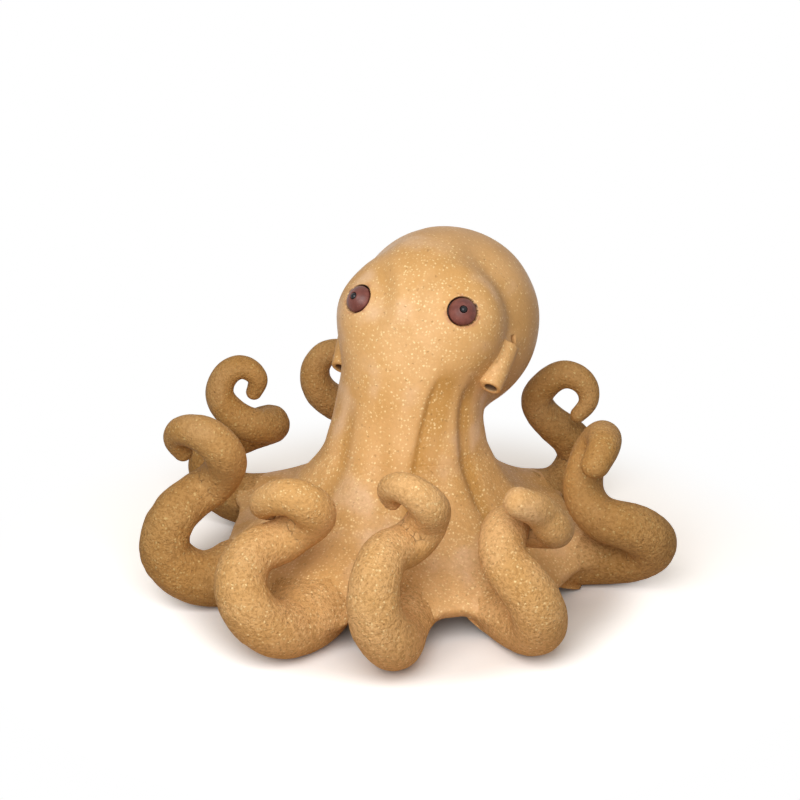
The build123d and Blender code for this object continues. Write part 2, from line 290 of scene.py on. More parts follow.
def cut_body(p):
    """The body with the eye sockets and the gill slits cut."""
    d = body(p)
    for n in SIDES:
        radial, along = eye_place(p, n)
        d = carve(d, np.maximum(radial - SOCKET_RADIUS, -1.5 - along), 0.3)
        q = p - GILL_AT[n]
        across = q @ GILL_ACROSS[n]
        wide = np.linalg.norm(q - across[..., None] * GILL_ACROSS[n], axis=-1) - 2.4
        d = carve(d, np.maximum(np.abs(across) - 0.5, wide), 0.35)
    return d


print("eyes at", {n: np.round(v, 1).tolist() for n, v in EYE_AT.items()})

# %% [markdown]
# ## The arms' centre lines
#
# Each arm was rolled between the palms, tapered, bent down to the table, up again, and curled.
# A handful of stations gives each centre line: outwards from the axis, sideways, and height.
# The circles that make the tube need a frame at every step. The frame is carried along by two
# reflections per step, which keeps it from twisting, and all eight arms are carried together.

# %% Stations and frames
SETTLE, ALONG = 0.8, 380
ARMS = {  # azimuth, radius at the root, radius before the tip, at the tip, stations
    "left_arm_1": (17, 6.2, 2.7, 1.3, [
        (17, 0, 8.5), (24, 0, 7), (31, 0, 5.8), (38, 0, 5.6), (43.5, -0.5, 8), (46.1, -2.4, 12.4),
        (45, -3, 18.5), (40.4, -1.5, 22.1), (36.1, 1.8, 22.1), (34.8, 4.1, 23.9), (35.7, 5.6, 27.2),
        (38.8, 5.6, 30.7), (39.2, 3.5, 33), (37.9, 0.8, 33.5), (35.9, -0.9, 31.9), (34.4, -0.6, 29.4)]),
    "left_arm_2": (52, 6.0, 2.8, 2.6, [
        (17, 0, 8.5), (24, 0, 7), (31, 0, 5.6), (38, -0.5, 5.5), (43.6, -1.2, 7.2), (46.6, -2.8, 11.6),
        (44.5, -4.6, 16.5), (39.5, -5.6, 20.2), (36.9, -3.6, 22.7), (34.4, 0.2, 22.4), (35.6, 3.8, 21.6),
        (39.2, 5, 22.4), (41.5, 3.5, 24), (41.9, 0.7, 27.4), (42.5, -2.7, 29.9), (42.1, -4.2, 30.7)]),
    "left_arm_3": (96, 6.0, 2.9, 2.7, [
        (17, -1, 8.5), (23, -1, 7), (29, 0.4, 5.6), (35, 2, 5.4), (40.4, 2.6, 5.8), (44.3, 1.8, 7.5),
        (45.9, -0.4, 10.6), (44.6, -2.8, 13.6), (41.2, -4.1, 15.3), (36.8, -3.2, 16), (33.6, -1.4, 18.8),
        (33, 1, 22.8), (34.1, 2.4, 26.6), (36, 0.6, 29.7), (36.9, -3, 29.8), (36.1, -6.4, 27.6)]),
    "left_arm_4": (152, 5.8, 2.0, 1.7, [
        (17, 0, 8.5), (24, 0, 7), (30, -1, 5.6), (35.5, -2.2, 5.4), (40.4, -3.2, 7.4), (42.6, -3.2, 11.8),
        (40.4, -2.2, 16.2), (36.6, -0.8, 20), (34.4, 0.2, 24.2), (34.8, -1.8, 28.4), (36.8, -5.2, 30.6),
        (38.9, -8.2, 28.6), (38.8, -9, 25.4), (37.2, -8.1, 23.2)]),
    "right_arm_1": (348, 6.2, 2.8, 1.3, [
        (17, 0, 8.5), (24, 0.8, 7), (30.5, 1.8, 5.8), (38, 2.4, 5.6), (44.5, 1, 7.4), (47.7, -1.6, 11.6),
        (46.1, -4.2, 16.1), (41.1, -4.4, 19), (37, -2.4, 19.9), (34.7, -0.7, 21.4), (34.6, 3, 25.4),
        (36.6, 3, 27.9), (37.9, 1.1, 29.2), (38.6, -2.4, 28.5), (38.4, -4.5, 27.2), (35.6, -5.7, 24.4)]),
    "right_arm_2": (308, 6.0, 2.7, 1.3, [
        (17, 0, 8.5), (23.5, 1.5, 7), (29.5, 3.5, 5.6), (36, 4.5, 5.4), (42.5, 4, 7), (46, 3, 11.5),
        (45, 2.5, 17), (40.6, 0.6, 20), (36.6, 0.2, 22.1), (34.7, 3.9, 27.9), (35.6, 5.3, 30.5),
        (37.6, 5, 33.1), (40.2, 3.1, 34.1), (42, 0.5, 33.2), (42.4, -1.4, 30.8), (41.2, -1.9, 28.3)]),
    "right_arm_3": (244, 5.8, 2.3, 1.6, [
        (17, 0, 8.5), (23.5, 1.5, 7), (29.5, 5, 5.6), (34.2, 9, 5.4), (38.6, 12, 7.2), (42.2, 12, 11),
        (42.6, 8.8, 14.8), (39.8, 5, 17), (35.1, 3.3, 19.2), (32.4, 4.8, 20.6), (31.6, 10.2, 22.5),
        (33.8, 13, 24.8), (35.6, 14.6, 28.8), (35.2, 13.2, 32.4), (33.2, 10.8, 33.8), (31.5, 8.8, 31.8),
        (32.4, 8.8, 28.5)]),
    "right_arm_4": (205, 5.8, 2.0, 1.7, [
        (17, 0, 8.5), (24, 0, 7), (30, 0, 5.6), (35.5, 1, 5.4), (39.4, 2.6, 8.4), (39.6, 5, 13.4),
        (36.4, 7.6, 17.4), (34, 10.8, 20), (33.2, 14.2, 23.4), (33, 14.8, 28), (32.2, 12, 31.4),
        (31, 8.6, 31.2), (30.4, 7.2, 28.2), (30.8, 8.2, 25.4)]),
}


def centre_line(azimuth, stations):
    """Stations turned to the arm's azimuth and lowered on to the table, joined smoothly."""
    a = np.radians(azimuth)
    o, s, z = np.array(stations, float).T
    points = [o * np.sin(a) + s * np.cos(a), s * np.sin(a) - o * np.cos(a), z - SETTLE]
    return line_through(np.stack(points, 1), ALONG)


paths = np.array([centre_line(a, st) for a, *_, st in ARMS.values()])
tangents = unit(np.gradient(paths, axis=1))
steps = np.linalg.norm(np.diff(paths, axis=1), axis=-1).mean(axis=1)
bends = np.gradient(tangents, axis=1) / steps[:, None, None]
run = np.linspace(0, 1, ALONG)
radii = np.array([r0 + (rn - r0) * run - (rn - r1) * run**8 for _, r0, rn, r1, _ in ARMS.values()])
FULLER = {"left_arm_1": 0.35, "right_arm_1": 0.55, "right_arm_2": 0.5}  # mm more in the hooks
radii += np.array([[FULLER.get(name, 0)] for name in ARMS]) * step(run, 0.6, 0.85)
across = np.zeros_like(paths)
turns = np.radians([a for a, *_ in ARMS.values()])
sideways = np.stack([np.cos(turns), np.sin(turns), 0 * turns], 1)
across[:, 0] = unit(np.cross(np.cross(tangents[:, 0], sideways), tangents[:, 0]))


def mirror(v, n):
    """v reflected in the plane across n."""
    squared = np.maximum(np.sum(n * n, -1, keepdims=True), 1e-12)
    return v - 2 * np.sum(v * n, -1, keepdims=True) / squared * n


for i in range(1, ALONG):
    hop = paths[:, i] - paths[:, i - 1]
    across[:, i] = mirror(mirror(across[:, i - 1], hop), tangents[:, i] - mirror(tangents[:, i - 1], hop))
upright = np.cross(tangents, across)
print("arm lengths in mm", np.round(steps * (ALONG - 1), 0).tolist())

# %% [markdown]
# Where an arm leaves the web the potter thumbed the slip into a long fillet. All eight roots
# and the body go into one soft minimum that doesn't depend on order, so the web's grid and
# the arm's grid agree about the fillet between them.

# %% Roots of the arms in the field
ROOT_KNOTS = np.arange(0, 150, 6)
FILLET, FILLET_REACH = 2.6, 11.0
LOW_WEB = 331


def root_distances(p):
    """Distance from each point to the lower run of every arm: the nearest of its short rods."""
    a, b = paths[:, ROOT_KNOTS[:-1]], paths[:, ROOT_KNOTS[1:]]
    ra, rb = radii[:, ROOT_KNOTS[:-1]], radii[:, ROOT_KNOTS[1:]]
    ab = b - a
    found = []
    for arm in range(len(paths)):
        best = np.full(p.shape[:-1], 1e3)
        near = np.linalg.norm(p - paths[arm, 60], axis=-1) < 26
        q = p[near]
        if len(q):
            rel = q[:, None] - a[arm]
            h = np.clip(np.einsum("nkc,kc->nk", rel, ab[arm]) / np.sum(ab[arm] ** 2, -1), 0, 1)
            gap = np.linalg.norm(rel - h[..., None] * ab[arm], axis=-1) - (ra[arm] + h * (rb[arm] - ra[arm]))
            best[near] = gap.min(axis=1)
        found.append(best)
    return np.array(found)


def tongue(p):
    """Distance to the low web drawn out between the two right front arms."""
    out, turn = np.hypot(p[..., 0], p[..., 1]), turn_of(p[..., 0], p[..., 1])
    away = np.abs(np.radians(half_turn(turn - LOW_WEB)) * out)
    top = (p[..., 2] - np.interp(out, [20, 24.6, 32, 38], [16.0, 10.6, 7.6, 6.2])) * 0.88
    return np.maximum(np.maximum(top, out - 38), away - 11)


def soft_least(distances):
    """-k log(sum of exp(-d/k)): the least distance, with every near one melted in.

    Beyond FILLET_REACH from the nearest one a piece adds nothing."""
    d = np.clip(distances, -20, 60)
    near = 1 - step(d - d.min(axis=0), 0.4 * FILLET_REACH, FILLET_REACH)
    return -FILLET * np.log(np.sum(near * np.exp(-d / FILLET), axis=0) + 1e-12)


def common_skin(p, roots):
    """Distance to the body, the low web and the arms' roots, all melted together."""
    return soft_least(np.concatenate([body(p)[None], tongue(p)[None], roots]))


def settle(base, outward, field, low, high, rounds):
    """Pushes a grid on to the skin: t <- t - 0.9 field(base + t * outward), from low to high."""
    t = np.zeros(base.shape[:-1])
    for _ in range(rounds):
        t = np.clip(t - 0.9 * field(base + t[..., None] * outward, t), low, high)
    return base + t[..., None] * outward, t


print("root rods per arm", len(ROOT_KNOTS) - 1)

# %% [markdown]
# ## Writing a grid as a mesh
#
# Every piece here is a grid of rings. The rings close round, and the first and last row shrink
# to a single point, or the last row joins the first as on a tyre. The arrays go into the mesh
# with foreach_set. Seven numbers ride on each point for the finish: how burnished the clay is,
# which also lets patches of painted sheen show, how many golden grains the burnishing brought
# up, how far it lies in a cracked bend, which also gets painted shade, how much painted shade it
# gets deep in a groove or dimple, how much painted shade darkens a socket, slit or bore, how much
# red slip is smeared on it, and how much painted shade darkens an arm that the light reaches less.

# %% Mesh writer
FINISH = ("burnish", "grain", "crack", "groove", "stain", "smear", "fired")
made = {}


def write_mesh(name, node, slot, grid, poles=True, **finish):
    """Quads between neighbouring rings, fans at the poles; grid is (rows, around, 3) in mm."""
    rows, around = grid.shape[:2]
    number = np.arange(rows * around).reshape(rows, around)
    points = grid.reshape(-1, 3)
    keep = np.arange(rows * around)
    if poles:
        keep = np.concatenate([[0], number[1:-1].ravel(), [number[-1, 0]]])
        rings = 1 + np.arange((rows - 2) * around).reshape(-1, around)
        number = np.concatenate([np.zeros((1, around), int), rings, np.full((1, around), rings.max() + 1)])
    else:
        number = np.concatenate([number, number[:1]])
    a, b = number[:-1], number[1:]
    quads = np.stack([a, np.roll(a, -1, 1), np.roll(b, -1, 1), b], axis=-1)
    body_quads = (quads[1:-1] if poles else quads).reshape(-1, 4)
    fans = np.concatenate([quads[0][:, [0, 2, 3]], quads[-1][:, [0, 1, 2]]])[:None if poles else 0]
    corners = np.concatenate([body_quads.ravel(), fans.ravel()]).astype(np.int32)
    sizes = np.concatenate([np.full(len(body_quads), 4), np.full(len(fans), 3)])
    mesh = bpy.data.meshes.new(name)
    mesh.vertices.add(len(keep))
    mesh.vertices.foreach_set("co", ((points[keep] + AXIS) * 0.001).astype(np.float32).ravel())
    mesh.loops.add(len(corners))
    mesh.loops.foreach_set("vertex_index", corners)
    mesh.polygons.add(len(sizes))
    mesh.polygons.foreach_set("loop_start", np.concatenate([[0], np.cumsum(sizes)[:-1]]).astype(np.int32))
    mesh.polygons.foreach_set("use_smooth", np.ones(len(sizes), bool))
    mesh.update(calc_edges=True)
    for key in FINISH:
        value = np.broadcast_to(finish.get(key, 0.0), (rows, around)).reshape(-1)[keep]
        mesh.attributes.new(key, "FLOAT", "POINT").data.foreach_set("value", value.astype(np.float32))
    piece = bpy.data.objects.new(name, mesh)
    bpy.context.scene.collection.objects.link(piece)
    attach(piece, "root")
    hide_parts(node)
    made[name] = piece
    a, b, c, d = np.moveaxis(points[keep][body_quads], 1, 0)
    volume = np.einsum("nc,nc->n", a, np.cross(b - d, c - a)).sum() / 6
    print(name, "faces", len(sizes), "signed volume", round(volume), "mm3")


# %% [markdown]
# ## Arms
#
# An arm is a circle carried along its centre line, with a round tip. Near the body it is
# pushed on to the common skin. Farther out only the hand-made unevenness lifts it: broad palm
# marks, dimples a few millimetres wide and a fine stipple. The undersides were pressed flat on
# the table while the clay was soft, so heights below the table are rounded off to zero.

# %% Arm grids
AROUND = 108
ROUGH = {"left_arm_1": 0.75, "left_arm_2": 0.6, "left_arm_3": 0.9, "left_arm_4": 0.9,
         "right_arm_1": 0.9, "right_arm_2": 1.2, "right_arm_3": 1.0, "right_arm_4": 1.0}
# How much painted shade darkens each arm that the light reaches less.
FIRED = {"left_arm_3": 0.75, "left_arm_4": 0.7,
         "right_arm_2": 0.7, "right_arm_3": 0.85, "right_arm_4": 0.6}


def skin_marks(p, rough):
    """Palm marks, dimples and stipple of the rolled clay, in mm of lift, and its dimples alone."""
    dimples = 0.6 * swelling(p, 2.4, 5) + 0.4 * swelling(p, 1.15, 6)
    return 0.22 * swelling(p, 8.0, 4) + rough * 0.17 * dimples, dimples


def arm_grid(k, name):
    """P = path + r (cos f * across + sin f * upright), the tip closed by a quarter turn."""
    rows = np.concatenate([[0, 0], np.arange(ALONG), np.full(14, ALONG - 1)])
    cap = np.concatenate([np.zeros(ALONG + 2), np.linspace(0, np.pi / 2, 15)[1:]])
    girth = np.cos(cap)
    girth[:2] = 0, 0.5
    f = np.linspace(0, 2 * np.pi, AROUND, endpoint=False)
    ring = np.cos(f)[:, None] * across[k][rows][:, None] + np.sin(f)[:, None] * upright[k][rows][:, None]
    forward = tangents[k][rows]
    centre = paths[k][rows] + (radii[k, -1] * np.sin(cap))[:, None] * forward
    base = centre[:, None] + (girth * radii[k][rows])[:, None, None] * ring
    outward = unit(np.cos(cap)[:, None, None] * ring + (np.sin(cap)[:, None] * forward)[:, None])
    share = rows / (ALONG - 1)
    bend = np.einsum("rfc,rc->rf", ring, bends[k][rows]) * radii[k][rows][:, None]
    return base, outward, share, bend


past_rim = np.hypot(paths[..., 0], paths[..., 1]) > 31
crossing = paths[np.arange(len(ARMS)), np.argmax(past_rim, axis=1)]
RIM_TURNS = turn_of(crossing[:, 0], crossing[:, 1])
LOW_RIMS, RIM_RISE = (LOW_WEB, 84), 1.5


def rim_arch(x, y, z):
    """How far the rim is raised between two arms, fading out up the side of the bell.

    It stays down at the arms and in the two low places."""
    def nearest(turns):
        return np.min([np.abs(half_turn(turn_of(x, y) - t)) for t in turns], axis=0)

    free = step(nearest(RIM_TURNS), 8, 15) * step(nearest(LOW_RIMS), 10, 18)
    return RIM_RISE * (1 - step(z, 4.5, 11)) * free


def root_in_wall(grid):
    """Moves what would hang inside the hollow bell outwards, to the middle of the bell's wall."""
    x, y, z = np.moveaxis(grid, -1, 0)
    out, heights = np.hypot(x, y), [0, 0.8, 1.8, 3.2, 4.4, 6.6, 9.6, 15.8, 22]
    middle = [33.6, 32.3, 31.5, 31.1, 29.8, 25.6, 21.6, 17.6, 14.2]
    hanging = out < np.interp(z, heights, middle)
    z = np.where(hanging, np.maximum(z, 3.2 * rim_arch(x, y, 0 * z)), z)
    grow = np.maximum(np.interp(z, heights, middle) / np.maximum(out, 1e-6), 1)
    grow = np.where(hanging, grow, 1)
    return np.stack([x * grow, y * grow, z + hanging * rim_arch(x, y, z)], axis=-1)


def make_arm(k, name):
    """Settles the root on to the common skin, adds the skin marks and flattens the foot."""
    base, outward, share, bend = arm_grid(k, name)
    near = share < 0.34

    def skin(p, t):
        d = root_distances(p)
        d[k] = t
        return common_skin(p, d) + 0.03

    lift = np.zeros(base.shape[:2])
    _, lift[near] = settle(base[near], outward[near], skin, 0, 4.5, 12)
    fade = step(base[..., 2], 3.0, 8.0) * (1 - step(share, 0.25, 0.335))[:, None]
    grid = base + (lift * fade)[..., None] * outward
    rolled = step(share, 0.12, 0.3) * (1 - step(share, 0.55, 0.78))
    rough = ROUGH[name] * (0.35 + 0.65 * rolled)[:, None]
    marks, dimples = skin_marks(grid, rough)
    clear = 1 - step(lift, 0.1, 1.2)
    grid = grid + (marks * (0.25 + 0.75 * clear))[..., None] * outward
    grid = root_in_wall(grid)
    z = grid[..., 2]
    grid[..., 2] = np.where(z < -0.6, 0, np.maximum(z, 0) + np.maximum(0.6 - np.abs(z), 0) ** 2 / 2.4)
    # The tight inner bends: a mask for the dark crack lines and for painted shade over the bend.
    crack = step(bend, 0.42, 0.95) * (share > 0.1)[:, None]
    burnish = 0.8 * (1 - step(share, 0.05, 0.24))[:, None] + 0.4 * step(share, 0.5, 0.75)[:, None]
    grain = 0.42 + 0.58 * (1 - step(share, 0.06, 0.26))[:, None]
    # Painted shade in the dimples, deeper where they are deeper.
    groove = 0.3 * np.maximum(-dimples, 0) * rough
    # Painted shade on the arms that the light reaches less, from the lower run outwards.
    fired = FIRED.get(name, 0) * step(share, 0.16, 0.34)[:, None]
    write_mesh(name + "_clay", name, "rolled_clay", grid, crack=crack, burnish=burnish, grain=grain,
               groove=groove, fired=fired)


for k, name in enumerate(ARMS):
    make_arm(k, name)

# %% [markdown]
# ## Web skirt
#
# The web is a bell turned from a closed line: down its outside, round the thick rim, up the
# inside and over the top. Only the outside is settled on to the common skin. The top edge
# dips just under the neck's clay, where the two were joined.

# %% Web skirt
def make_skirt(around=520):
    """P = (r(v) sin a, -r(v) cos a, z(v)) along the closed line v, its outside then settled."""
    outside = line_through(np.concatenate([bell[::8], bell[-1:]]), 120)
    top = np.array([(14.3, 27.4), (14.42, 26.6)])
    rim_arc = line_through([(32, 5.8), (32.75, 4.7), (32.3, 3.5), (31.1, 3.2)], 16, (1, -0.5), (-1, 0.1))
    inside = line_through([(31.1, 3.2), (27.2, 4.8), (22, 8.4), (16.4, 15.2), (12.5, 21.8),
                           (10.9, 26)], 40, (-1, 0.25), (-0.15, 1))
    line = np.concatenate([top, outside, rim_arc[1:], inside[1:], [(10.9, 27.4), (12.6, 27.5)]])
    along = unit(np.gradient(line, axis=0))
    normal = np.stack([-along[:, 1], along[:, 0]], 1)
    spoke = spokes(np.linspace(0, 2 * np.pi, around, endpoint=False))
    base = line[:, :1, None] * spoke + line[:, 1:, None] * UP
    outward = normal[:, :1, None] * spoke + normal[:, 1:, None] * UP
    outer = np.arange(len(line)) < len(top) + len(outside) + len(rim_arc) // 2
    lift = np.zeros(base.shape[:2])
    _, lift[outer] = settle(base[outer], outward[outer], lambda p, t: common_skin(p, root_distances(p)),
                            -1.4, 5.5, 14)
    hold = step(line[:, 1], 3.6, 6.4) * outer
    sink = 0.5 * step(line[:, 1], 25.6, 27.2) * outer
    grid = base + (lift * hold[:, None] - sink[:, None])[..., None] * outward
    grid[..., 2] += rim_arch(base[..., 0], base[..., 1], base[..., 2])
    uneven = 0.16 * swelling(grid, 7.0, 4) + 0.035 * swelling(grid, 1.6, 6)
    free = hold * (1 - step(line[:, 1], 22, 26))
    grid = grid + (uneven * free[:, None])[..., None] * outward
    # The web's thumbed grooves get painted shade by their depth.
    write_mesh("web_skirt_clay", "web_skirt", "burnished_clay", grid[:, ::-1], poles=False, burnish=0.8,
               grain=1.0, groove=grooves(grid)[:, ::-1])


make_skirt()

# %% [markdown]
# ## Head
#
# The head's grid has rings round a spine that rises through the neck to the crown, then fans
# out over the top. It starts inside and marches outwards to the neck, crown and brows, then a
# little farther to the common skin. Rows and columns are crowded round the eyes, so the cut
# of the sockets stays crisp. A second wall inside closes it as the hollow neck it is.

# %% Head
def make_head(around=360, rows=236):
    """Rays from the spine, level up to the crown's middle and fanned over it, marched outwards."""
    spine = line_through([(0, 0, 24), (0.4, 0.2, 32), (1.1, 1, 39), (1.8, 2.4, 44.5), CROWN], 200)
    tall = 24.4
    run = crowded(0, tall + CROWN_RADIUS * np.pi / 2, rows, (29,), 4.5, 2.2)
    a = np.radians(crowded(-180, 180, around + 1, (-46, 46), 15, 2.4)[:-1])
    rise = np.clip((run - tall) / CROWN_RADIUS, 0, np.pi / 2)
    height = np.minimum(24 + run, CROWN[2])
    centre = np.stack([np.interp(height, spine[:, 2], spine[:, j]) for j in range(3)], 1)
    ray = np.cos(rise)[:, None, None] * spokes(a) + np.sin(rise)[:, None, None] * UP
    base = centre[:, None] + 0 * ray
    reach = np.full(ray.shape[:2], 7.0)
    for _ in range(40):
        reach = np.clip(reach - 0.9 * head_only(base + reach[..., None] * ray), 5, 24)
    full = reach.copy()
    for _ in range(24):
        full = np.clip(full - 0.8 * cut_body(base + full[..., None] * ray), reach - 3.2, reach + 2.4)
    grid = base + full[..., None] * ray
    low = 1 - step(grid[..., 2], 24.2, 26.0)
    uneven = 0.10 * swelling(grid, 7.0, 4)
    full = full + uneven * step(grid[..., 2], 26, 31) - 0.5 * low
    grid = base + full[..., None] * ray
    # Painted shade inside the sockets, and red slip smeared round their lips.
    stain, smear = np.sum([eye_stain(grid, n) for n in SIDES], axis=0)
    inside_rows = np.round(np.linspace(0, 1, 24) * (rows - 1)).astype(int)
    inside = (base + (np.minimum(full, reach) - 3.6)[..., None] * ray)[inside_rows]
    inside[-1] = inside[-1].mean(axis=0)
    whole = np.concatenate([grid[::-1], inside])
    whole[0] = whole[0].mean(axis=0)
    # The neck's grooves get painted shade by their depth.
    marks = {"stain": stain, "smear": smear, "groove": grooves(grid), "grain": 0.8 + 0 * stain}
    marks = {key: np.concatenate([m[::-1], 0 * m[inside_rows]])[:, ::-1] for key, m in marks.items()}
    write_mesh("head_clay", "head", "burnished_clay", whole[:, ::-1], burnish=1.0, **marks)


def eye_stain(p, n):
    """How much painted shade darkens the inside of the socket, and a patchy ring of red slip smeared round
    its lip.
    """
    radial, along = eye_place(p, n)
    ring = np.exp(-(((radial - 2.95) / 0.32) ** 2)) * (np.abs(along) < 2)
    patch = step(swelling(p, 0.9, 8) + 0.35 * swelling(p, 0.4, 9), -0.2, 0.6)
    deep = (1 - step(radial, SOCKET_RADIUS, 2.86)) * step(-along, 0.12, 0.4) * (along > -4)
    return np.array([deep, ring * patch])


make_head()

# %% [markdown]
# ## Mantle
#
# The mantle is a ball pressed on to the back of the head. Its grid is a globe whose points
# settle on to the common skin, with lines crowded round the two gill slits.

# %% Mantle
def make_mantle(around=312, rows=300):
    """Rays from the ball's middle, by azimuth and latitude, settled on to the cut body."""
    a = np.radians(crowded(-180, 180, around + 1, (-60, 60), 9, 3.2)[:-1])
    e = np.radians(crowded(-90, 90, rows, (4,), 9, 2.4))
    ray = np.cos(e)[:, None, None] * spokes(a) + np.sin(e)[:, None, None] * UP
    base = MANTLE + MANTLE_RADIUS * ray
    grid, t = settle(base, ray, lambda p, t: cut_body(p), -2.6, 2.4, 26)
    grid = grid + (0.10 * swelling(grid, 7.0, 4))[..., None] * ray
    # Painted shade where the mantle's skin lies sunk in, as at the gill slits.
    deep = step(-t, 0.5, 1.4) * (np.abs(e)[:, None] < 0.6)
    write_mesh("mantle_clay", "mantle", "burnished_clay", grid, burnish=1.0, grain=0.35, stain=0.75 * deep)


make_mantle()

# %% [markdown]
# ## Siphons
#
# Each siphon is a short tube of clay, cut on the slant and pierced with a stick. Its line runs
# from the buried end along the outside, over a rounded lip and up the bore.

# %% Siphons
def make_siphon(n, around=72):
    """A closed line turned about the tube's axis; the open end leans by tan 8 degrees."""
    axis = unit(SIPHON_HIGH[n] - SIPHON_LOW[n])
    x = unit(np.array([0, -1.0, 1.0]) - np.dot((0, -1, 1), axis) * axis)
    y = np.cross(axis, x)
    wall = np.linspace(8.6, 0.25, 40)
    lip = np.linspace(0, np.pi, 13)[1:-1]
    line = np.concatenate([
        [(0, 8.6), (1.4, 8.6)], np.stack([1.9 + 0.9 * wall / 9, wall], 1),
        np.stack([1.5 + 0.4 * np.cos(lip), 0.22 - 0.22 * np.sin(lip)], 1),
        np.stack([np.full(16, 1.1), np.linspace(0.3, 5.2, 16)], 1), [(0.7, 5.5), (0, 5.5)]])
    f = np.linspace(0, 2 * np.pi, around, endpoint=False)
    spoke = np.cos(f)[:, None] * x + np.sin(f)[:, None] * y
    lean = np.tan(np.radians(8)) * line[:, :1] * np.cos(f) * (1 - step(line[:, 1], 0, 5))[:, None]
    base = SIPHON_LOW[n] + line[:, :1, None] * spoke + (line[:, 1:] + lean)[..., None] * axis
    row = np.arange(len(line))
    outer = (row < 2 + len(wall)) & (line[:, 0] > 1.5)
    grid, outward = base.copy(), np.broadcast_to(spoke, base[outer].shape)
    grid[outer], _ = settle(base[outer], outward, lambda p, t: melt(t, body(p), 0.8), 0, 0.7, 10)
    grid[outer] += (0.07 * swelling(grid[outer], 2.0, 4))[..., None] * spoke
    # Painted shade up the bore.
    inside = np.clip((row - len(wall) - 9) / 5, 0, 1)[:, None]
    write_mesh(n + "_siphon_clay", n + "_siphon", "burnished_clay", grid[:, ::-1], burnish=0.85,
               grain=0.6, stain=0.85 * inside)


for n in SIDES:
    make_siphon(n)

# %% [markdown]
# ## Eyes and pupils
#
# An eye is a plug of red clay with a polished dome, let into its drilled socket. A glossy
# black bead sits in a hole at the dome's middle. Both are turned from a line about the eye's
# axis; the dome has a soft ring round the bead, where the clay was pressed up.

# %% Eyes and pupils
def turned(n, line, around=96):
    """The line (radius, height along the eye's axis) turned about that axis."""
    x = unit(np.cross((0, 0, 1.0), EYE_OUT[n]))
    y = np.cross(EYE_OUT[n], x)
    f = np.linspace(0, 2 * np.pi, around, endpoint=False)
    spoke = np.cos(f)[:, None] * x + np.sin(f)[:, None] * y
    return EYE_AT[n] + line[:, :1, None] * spoke + line[:, 1:, None] * EYE_OUT[n]


def dome(half, low, high, count):
    """Part of a circle from its top on the axis down to (half, low)."""
    r = (half**2 + (high - low) ** 2) / (2 * (high - low))
    x = half * np.sin(np.linspace(0, np.pi / 2, count))
    return np.stack([x, high - r + np.sqrt(r * r - x * x)], 1)


for n in SIDES:
    cap = dome(2.45, -0.5, 0.9, 60)
    cap = cap[cap[:, 0] > 0.78]
    cap = cap + np.array([0, 0.06]) * np.exp(-((cap[:, :1] - 0.85) / 0.25) ** 2)
    hole = np.array([(0, -0.1), (0.5, -0.1), (0.68, -0.02), (0.7, 0.4), (0.7, 0.8), (0.73, 0.88)])
    side = np.array([(2.46, -0.7), (2.45, -1.6), (2.45, -2.85), (2.3, -3.0), (0, -3.0)])
    line = np.concatenate([hole, cap, side])
    write_mesh(n + "_eye_clay", n + "_eye", "red_clay", turned(n, line))
    bead = np.concatenate([dome(0.65, 0.72, 1.15, 24), [(0.65, 0.5), (0.65, 0.0), (0.58, -0.08), (0, -0.09)]])
    write_mesh(n + "_pupil_bead", n + "_pupil", "black_bead", turned(n, bead, 64))

# %% [markdown]
# ## Writing shaders as sums
#
# A material is a net of small nodes. To keep the recipes readable, a socket is wrapped in a
# class that understands + - * and so adds the Math nodes itself, and one method adds every
# other node: its settings first, then the values or links of its sockets.


# %% Shader arithmetic
class Value:
    """A number that changes over the surface: a wrapped output socket."""

    def __init__(self, tree, socket):
        self.tree, self.socket = tree, socket

    def sum(self, operation, a, b):
        """A Math node with the two terms, each a Value or a plain number."""
        node = self.tree.nodes.new("ShaderNodeMath")
        node.operation = operation
        for slot, v in zip(node.inputs, (a, b)):
            if isinstance(v, Value):
                self.tree.links.new(v.socket, slot)
            else:
                slot.default_value = v
        return Value(self.tree, node.outputs[0])

    def __add__(self, o): return self.sum("ADD", self, o)
    def __radd__(self, o): return self.sum("ADD", o, self)
    def __sub__(self, o): return self.sum("SUBTRACT", self, o)
    def __rsub__(self, o): return self.sum("SUBTRACT", o, self)
    def __mul__(self, o): return self.sum("MULTIPLY", self, o)
    def __rmul__(self, o): return self.sum("MULTIPLY", o, self)
    def above(self, o): return self.sum("MAXIMUM", self, o)
    def below(self, o): return self.sum("MINIMUM", self, o)


